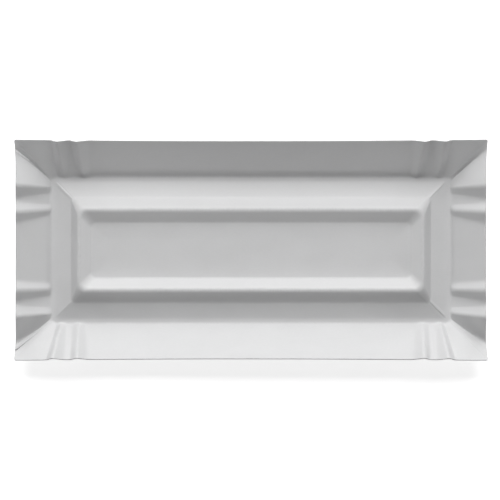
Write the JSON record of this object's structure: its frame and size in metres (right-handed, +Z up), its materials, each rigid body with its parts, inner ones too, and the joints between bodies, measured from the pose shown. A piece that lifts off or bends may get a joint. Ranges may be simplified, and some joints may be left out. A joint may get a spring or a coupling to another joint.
{
  "type": "paper food tray",
  "caption": "Long shallow rectangular food tray pressed from one paperboard sheet, with a framed floor, a raised rib, flared walls and pleated corners.",
  "frame": {"origin": "on the table, under the middle of the tray", "axes": "+X along the tray's length, +Y across it, +Z up"},
  "size_m": [0.2098, 0.098, 0.0186],
  "materials": {
    "board": "satin, coated paperboard"
  },
  "bodies": {
    "root": {"tray": "board"}
  },
  "joints": []
}
